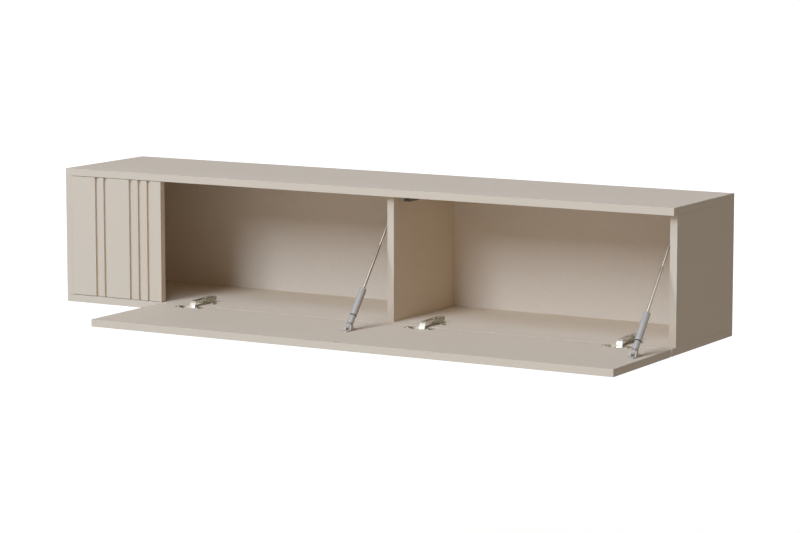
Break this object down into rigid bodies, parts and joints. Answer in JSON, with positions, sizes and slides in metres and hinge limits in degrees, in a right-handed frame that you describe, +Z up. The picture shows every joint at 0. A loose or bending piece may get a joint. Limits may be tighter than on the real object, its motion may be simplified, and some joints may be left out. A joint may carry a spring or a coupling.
{
  "type": "wall-hung media console",
  "caption": "Wall-hung media console with a fluted fixed front and one long drop-down flap on concealed hinges and telescopic stays.",
  "frame": {"origin": "middle of the wall plane at the underside of the cabinet", "axes": "+X right along the length, +Y towards the wall, +Z up"},
  "size_m": [1.5, 0.571, 0.302],
  "materials": {
    "board_laminate": "matt greige melamine on chipboard, fine emboss",
    "back_board": "matt greige lacquered hardboard",
    "beech_dowel": "plain beech",
    "zinc_casting": "tumbled zinc casting",
    "screw_steel": "zinc plated",
    "hanger_steel": "zinc plated sheet",
    "nickel_plate": "bright nickel plate",
    "grey_plastic": "satin grey plastic and paint",
    "polished_steel": "polished steel",
    "dark_plastic": "matt dark grey plastic"
  },
  "bodies": {
    "cabinet": {"top_panel": "board_laminate", "bottom_panel": "board_laminate", "left_side_panel": "board_laminate", "right_side_panel": "board_laminate", "centre_divider": "board_laminate", "back_panel": "back_board", "fluted_front": "board_laminate", "panel_dowels": "beech_dowel", "cam_locks": "zinc_casting", "cam_bolts": "screw_steel", "wall_plate_left": "hanger_steel", "wall_plate_right": "hanger_steel", "hanger_hook_left": "hanger_steel", "hanger_hook_right": "hanger_steel", "hanger_screws": "screw_steel", "hinge_plate_screws": "screw_steel", "hinge_adjusting_screws": "screw_steel", "stay_head_screws": "screw_steel", "stay_head_left": "grey_plastic", "stay_head_right": "grey_plastic", "latch_housing": "dark_plastic", "latch_screws": "screw_steel", "hinge_plate_left": "nickel_plate", "hinge_arm_left": "nickel_plate", "hinge_plate_middle": "nickel_plate", "hinge_arm_middle": "nickel_plate", "hinge_plate_right": "nickel_plate", "hinge_arm_right": "nickel_plate"},
    "flap": {"flap_panel": "board_laminate", "latch_strike": "screw_steel", "hinge_cup_screws": "screw_steel", "stay_foot_screws": "screw_steel", "hinge_cup_left": "nickel_plate", "hinge_cup_middle": "nickel_plate", "hinge_cup_right": "nickel_plate", "stay_foot_left": "grey_plastic", "stay_foot_right": "grey_plastic"},
    "plunger": {"latch_plunger": "dark_plastic"},
    "bridge_left": {"hinge_bridge_left": "nickel_plate"},
    "knuckle_left": {"hinge_knuckle_left": "nickel_plate"},
    "bridge_middle": {"hinge_bridge_middle": "nickel_plate"},
    "knuckle_middle": {"hinge_knuckle_middle": "nickel_plate"},
    "bridge_right": {"hinge_bridge_right": "nickel_plate"},
    "knuckle_right": {"hinge_knuckle_right": "nickel_plate"},
    "barrel_left": {"stay_fitting_left": "grey_plastic", "stay_barrel_left": "grey_plastic"},
    "tube_left": {"stay_tube_left": "polished_steel"},
    "rod_left": {"stay_rod_left": "polished_steel", "stay_socket_left": "grey_plastic"},
    "barrel_right": {"stay_fitting_right": "grey_plastic", "stay_barrel_right": "grey_plastic"},
    "tube_right": {"stay_tube_right": "polished_steel"},
    "rod_right": {"stay_rod_right": "polished_steel", "stay_socket_right": "grey_plastic"}
  },
  "joints": [
    {"name": "flap_swing", "type": "hinge", "parent": "cabinet", "child": "flap", "pos_m": [0.13025, -0.294, 0.006], "axis": [-1, 0, 0], "range_deg": [0, 90]},
    {"name": "bridge_swing_left", "type": "hinge", "parent": "cabinet", "child": "bridge_left", "pos_m": [-0.3995, -0.2785, 0.024], "axis": [-1, 0, 0], "range_deg": [0, 90]},
    {"name": "knuckle_swing_left", "type": "hinge", "parent": "flap", "child": "knuckle_left", "pos_m": [-0.3995, -0.3185, 0.011], "axis": [1, 0, 0], "range_deg": [0, 117]},
    {"name": "bridge_swing_middle", "type": "hinge", "parent": "cabinet", "child": "bridge_middle", "pos_m": [0.1805, -0.2785, 0.024], "axis": [-1, 0, 0], "range_deg": [0, 90]},
    {"name": "knuckle_swing_middle", "type": "hinge", "parent": "flap", "child": "knuckle_middle", "pos_m": [0.1805, -0.3185, 0.011], "axis": [1, 0, 0], "range_deg": [0, 117]},
    {"name": "bridge_swing_right", "type": "hinge", "parent": "cabinet", "child": "bridge_right", "pos_m": [0.64, -0.2785, 0.024], "axis": [-1, 0, 0], "range_deg": [0, 90]},
    {"name": "knuckle_swing_right", "type": "hinge", "parent": "flap", "child": "knuckle_right", "pos_m": [0.64, -0.3185, 0.011], "axis": [1, 0, 0], "range_deg": [0, 117]},
    {"name": "stay_swing_left", "type": "hinge", "parent": "flap", "child": "barrel_left", "pos_m": [0.0675, -0.427, 0.0255], "axis": [1, 0, 0], "range_deg": [0, 79.2]},
    {"name": "tube_slide_left", "type": "slide", "parent": "barrel_left", "child": "tube_left", "axis": [0, -0.6335, -0.7737], "range_m": [0, 0.072]},
    {"name": "rod_slide_left", "type": "slide", "parent": "tube_left", "child": "rod_left", "axis": [0, -0.6335, -0.7737], "range_m": [0, 0.10466]},
    {"name": "stay_swing_right", "type": "hinge", "parent": "flap", "child": "barrel_right", "pos_m": [0.7255, -0.427, 0.0255], "axis": [1, 0, 0], "range_deg": [0, 79.2]},
    {"name": "tube_slide_right", "type": "slide", "parent": "barrel_right", "child": "tube_right", "axis": [0, -0.6335, -0.7737], "range_m": [0, 0.072]},
    {"name": "rod_slide_right", "type": "slide", "parent": "tube_right", "child": "rod_right", "axis": [0, -0.6335, -0.7737], "range_m": [0, 0.10466]},
    {"name": "plunger_press", "type": "slide", "parent": "cabinet", "child": "plunger", "axis": [0, 1, 0], "range_m": [0, 0.003], "stiffness_N_per_m": 400}
  ],
  "couplings": [
    {"joint": "bridge_swing_left", "follows": "flap_swing", "ratio": 1},
    {"joint": "knuckle_swing_left", "follows": "flap_swing", "ratio": 1.3},
    {"joint": "bridge_swing_middle", "follows": "flap_swing", "ratio": 1},
    {"joint": "knuckle_swing_middle", "follows": "flap_swing", "ratio": 1.3},
    {"joint": "bridge_swing_right", "follows": "flap_swing", "ratio": 1},
    {"joint": "knuckle_swing_right", "follows": "flap_swing", "ratio": 1.3},
    {"joint": "stay_swing_left", "follows": "flap_swing", "ratio": 0.88},
    {"joint": "tube_slide_left", "follows": "flap_swing", "m_per_rad": 0.045837},
    {"joint": "rod_slide_left", "follows": "flap_swing", "m_per_rad": 0.066628},
    {"joint": "stay_swing_right", "follows": "flap_swing", "ratio": 0.88},
    {"joint": "tube_slide_right", "follows": "flap_swing", "m_per_rad": 0.045837},
    {"joint": "rod_slide_right", "follows": "flap_swing", "m_per_rad": 0.066628}
  ]
}
